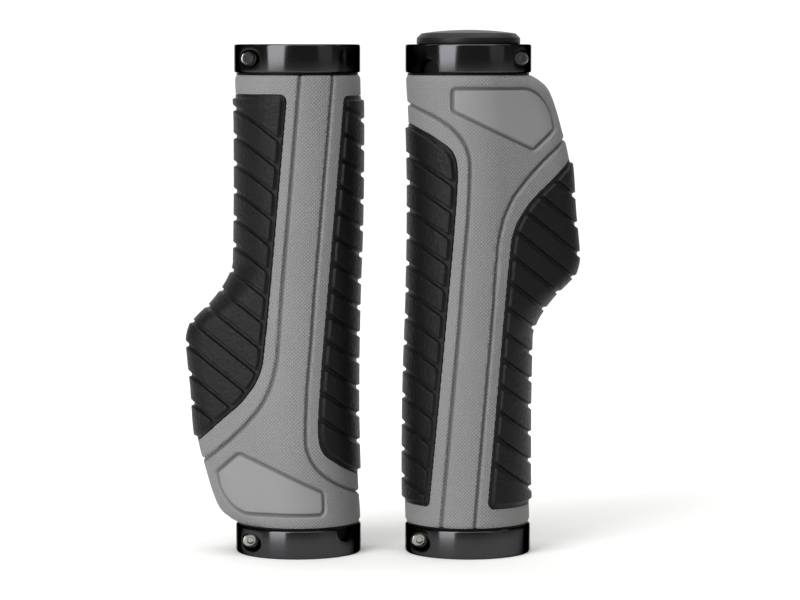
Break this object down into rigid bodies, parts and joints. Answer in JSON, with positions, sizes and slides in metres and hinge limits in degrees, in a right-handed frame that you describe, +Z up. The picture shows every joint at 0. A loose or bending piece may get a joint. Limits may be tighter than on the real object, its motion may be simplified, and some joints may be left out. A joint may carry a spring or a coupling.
{
  "type": "lock-on handlebar grips",
  "caption": "Pair of ergonomic bicycle handlebar grips with a palm wing, ribbed pads and bolted clamp collars at both ends.",
  "frame": {"origin": "on the surface that both grips stand on, midway between their axes", "axes": "+Z up along both bars, +X to the right of a viewer who faces the front, +Y away from that viewer"},
  "size_m": [0.1011, 0.0322, 0.1338],
  "materials": {
    "grey_rubber": "matte, moulded with a fine diamond knurl",
    "black_rubber": "matte, moulded ribs",
    "core_nylon": "matte hard plastic",
    "plug_nylon": "satin plastic",
    "anodised_aluminium": "glossy black anodised",
    "steel": "bright, machined"
  },
  "bodies": {
    "lower_collars": {"left_outer_collar": "anodised_aluminium", "right_inner_collar": "anodised_aluminium"},
    "left_grip": {"left_core": "core_nylon", "left_sleeve": "grey_rubber", "left_palm_pad": "black_rubber", "left_finger_pad": "black_rubber"},
    "right_grip": {"right_core": "core_nylon", "right_sleeve": "grey_rubber", "right_palm_pad": "black_rubber", "right_finger_pad": "black_rubber"},
    "left_upper_collar": {"left_inner_collar": "anodised_aluminium"},
    "right_upper_collar": {"right_outer_collar": "anodised_aluminium"},
    "left_lower_bolt": {"left_outer_bolt": "steel"},
    "left_upper_bolt": {"left_inner_bolt": "steel"},
    "right_lower_bolt": {"right_inner_bolt": "steel"},
    "right_upper_bolt": {"right_outer_bolt": "steel"},
    "right_plug": {"right_end_plug": "plug_nylon"}
  },
  "joints": [
    {"name": "left_grip_lift", "type": "slide", "parent": "lower_collars", "child": "left_grip", "axis": [0, 0, 1], "range_m": [0, 0.012]},
    {"name": "right_grip_lift", "type": "slide", "parent": "lower_collars", "child": "right_grip", "axis": [0, 0, 1], "range_m": [0, 0.012]},
    {"name": "left_collar_pull", "type": "slide", "parent": "left_grip", "child": "left_upper_collar", "axis": [0, 0, 1], "range_m": [0, 0.012]},
    {"name": "right_collar_pull", "type": "slide", "parent": "right_grip", "child": "right_upper_collar", "axis": [0, 0, 1], "range_m": [0, 0.012]},
    {"name": "right_plug_pull", "type": "slide", "parent": "right_upper_collar", "child": "right_plug", "axis": [0, 0, 1], "range_m": [0, 0.022]},
    {"name": "left_lower_bolt_turn", "type": "hinge", "parent": "lower_collars", "child": "left_lower_bolt", "pos_m": [-0.03402, -0.00574, 0.0036], "axis": [0.1149, -0.9934, 0], "range_deg": [0, 720]},
    {"name": "left_upper_bolt_turn", "type": "hinge", "parent": "left_upper_collar", "child": "left_upper_bolt", "pos_m": [-0.03402, -0.00574, 0.1264], "axis": [0.1149, -0.9934, 0], "range_deg": [0, 720]},
    {"name": "right_lower_bolt_turn", "type": "hinge", "parent": "lower_collars", "child": "right_lower_bolt", "pos_m": [0.00928, -0.00505, 0.0036], "axis": [0.0593, -0.9982, 0], "range_deg": [0, 720]},
    {"name": "right_upper_bolt_turn", "type": "hinge", "parent": "right_upper_collar", "child": "right_upper_bolt", "pos_m": [0.03483, -0.00353, 0.1264], "axis": [0.0593, -0.9982, 0], "range_deg": [0, 720]}
  ]
}
